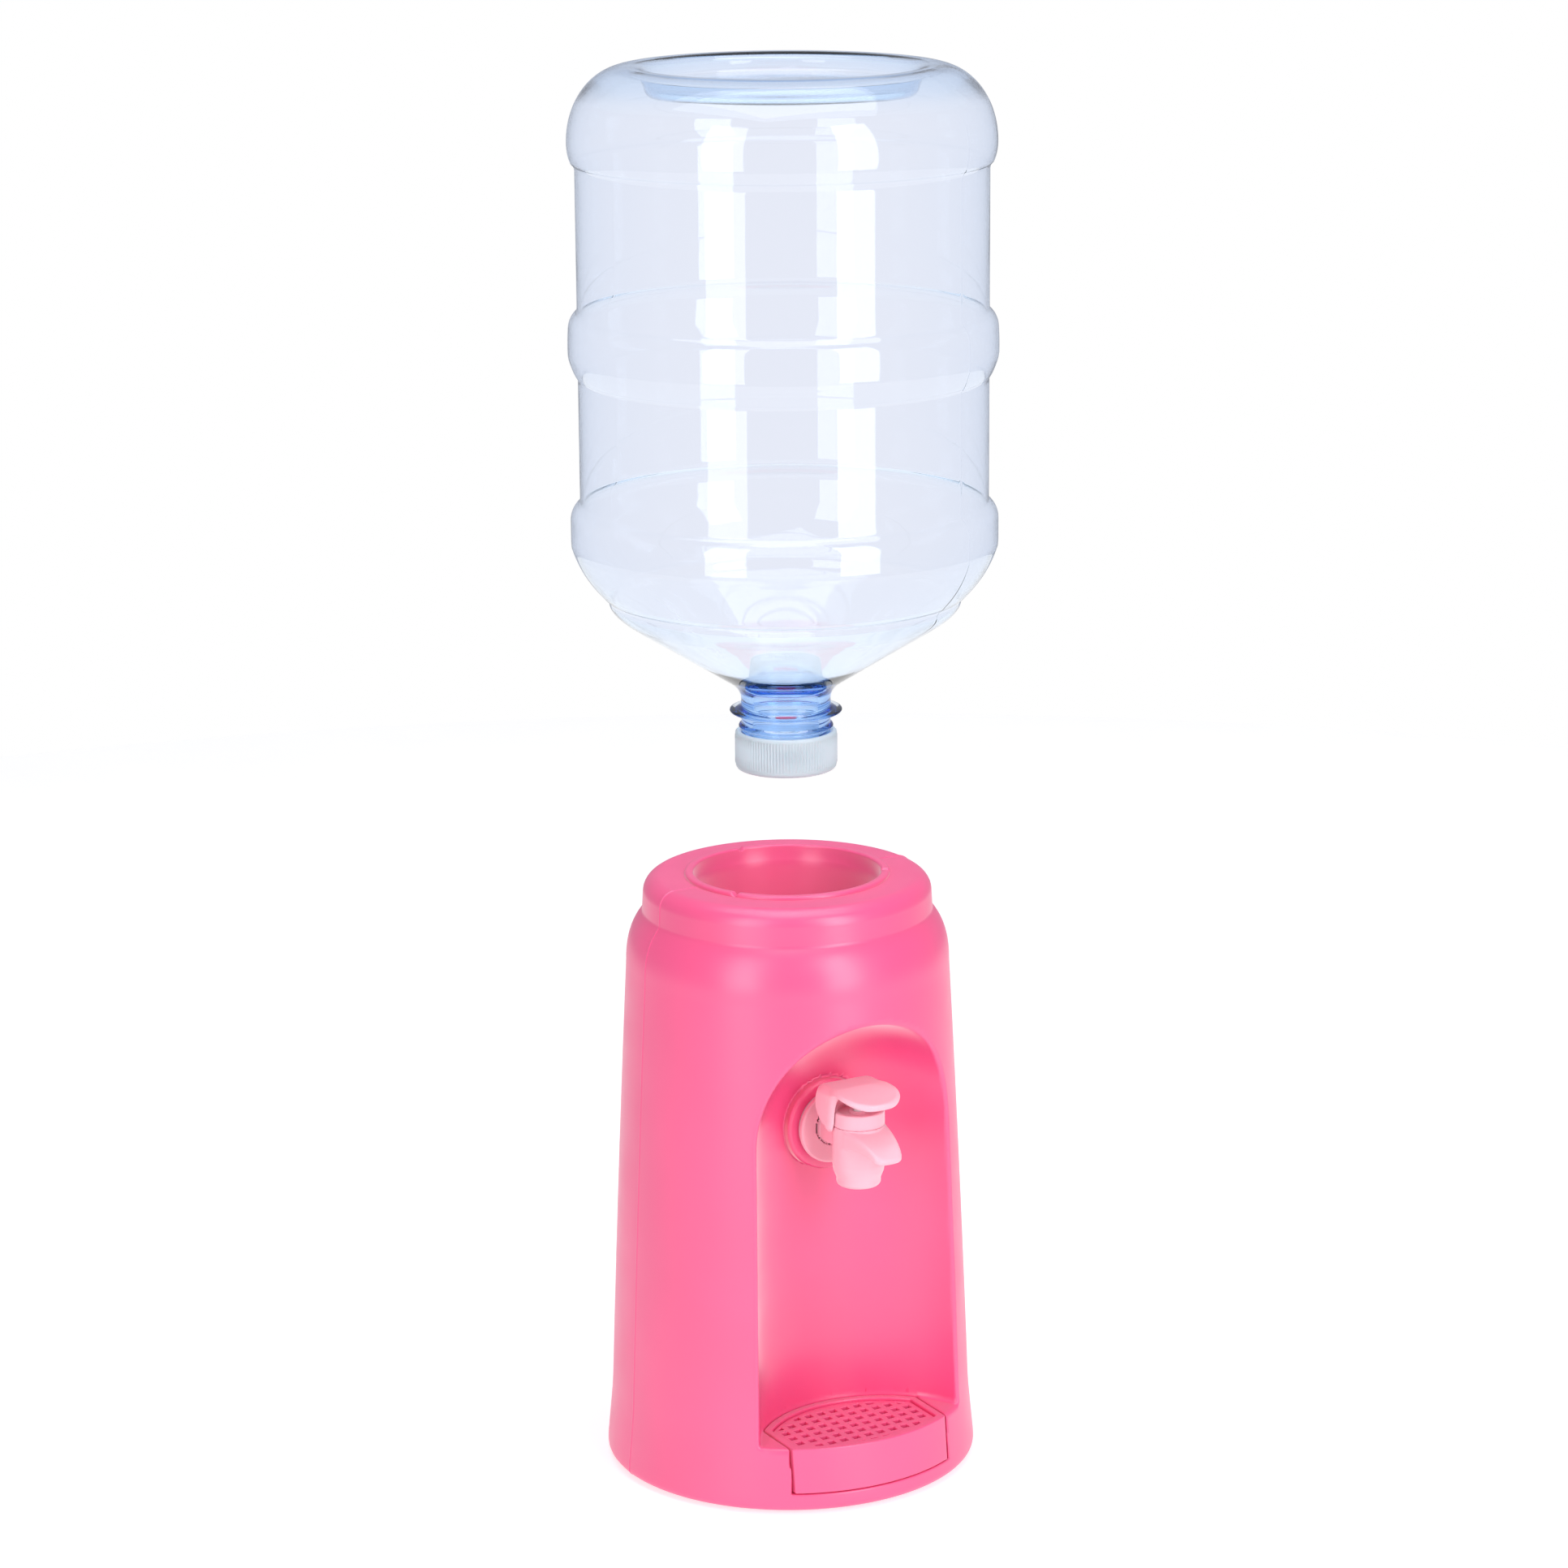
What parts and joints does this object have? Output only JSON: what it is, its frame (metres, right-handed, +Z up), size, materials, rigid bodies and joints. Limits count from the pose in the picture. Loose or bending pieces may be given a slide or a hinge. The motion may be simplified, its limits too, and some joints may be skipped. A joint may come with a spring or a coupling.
{
  "type": "countertop water dispenser",
  "caption": "Small gravity water dispenser: upturned clear bottle held over a can-shaped base with an arched niche, press-down tap and drip tray.",
  "frame": {"origin": "on the table, under the centre of the base, where the rubber feet stand", "axes": "+Z up along the base's and bottle's axis; the niche, tap and drip tray face -Y; +X to the right seen from the front"},
  "size_m": [0.129, 0.129, 0.4349],
  "materials": {
    "pink_plastic": "moulded, satin gloss",
    "light_pink_plastic": "moulded, satin gloss",
    "clear_pet": "clear blown PET with a pale blue tint",
    "frosted_plastic": "frosted natural polyethylene",
    "silicone": "matte translucent silicone",
    "valve_white": "moulded acetal",
    "steel": "bright zinc or stainless"
  },
  "bodies": {
    "base": {"housing": "pink_plastic", "reservoir": "pink_plastic", "base_plate": "pink_plastic", "foot_1": "silicone", "foot_2": "silicone", "foot_3": "silicone", "foot_4": "silicone", "plate_screws": "steel", "tap_body": "light_pink_plastic", "tap_bonnet": "light_pink_plastic", "lever_pins": "steel", "stem_o_ring": "silicone", "flange_gasket": "silicone", "inner_gasket": "silicone", "tap_nut": "light_pink_plastic", "valve_spring": "steel"},
    "lever": {"tap_lever": "light_pink_plastic"},
    "stem": {"valve_stem": "valve_white", "valve_seal": "silicone"},
    "tray": {"drip_tray": "pink_plastic"},
    "grate": {"drip_grate": "pink_plastic"},
    "bottle": {"bottle": "clear_pet"},
    "cap_seal": {"cap_liner": "silicone"},
    "cap": {"bottle_cap": "frosted_plastic"}
  },
  "joints": [
    {"name": "lever_press", "type": "hinge", "parent": "base", "child": "lever", "pos_m": [0, -0.0392, 0.1214], "axis": [1, 0, 0], "range_deg": [0, 16]},
    {"name": "stem_slide", "type": "slide", "parent": "base", "child": "stem", "axis": [0, 0, -1], "range_m": [0, 0.00124], "stiffness_N_per_m": 1200, "springref_m": -0.0015, "deforming": ["valve_spring"]},
    {"name": "tray_slide", "type": "slide", "parent": "base", "child": "tray", "axis": [0, -1, 0], "range_m": [0, 0.062]},
    {"name": "grate_lift", "type": "slide", "parent": "tray", "child": "grate", "axis": [0, 0, 1], "range_m": [0, 0.04]},
    {"name": "bottle_lift", "type": "slide", "parent": "base", "child": "bottle", "axis": [0, 0, 1], "range_m": [-0.067, 0]},
    {"name": "cap_travel", "type": "slide", "parent": "bottle", "child": "cap_seal", "axis": [0, 0, -1], "range_m": [0, 0.0107]},
    {"name": "cap_twist", "type": "hinge", "parent": "cap_seal", "child": "cap", "pos_m": [0, 0, 0.2276], "axis": [0, 0, -1], "range_deg": [0, 1200]}
  ],
  "couplings": [
    {"joint": "lever_press", "follows": "stem_slide", "rad_per_m": 225},
    {"joint": "cap_travel", "follows": "cap_twist", "m_per_rad": 0.0005061}
  ]
}
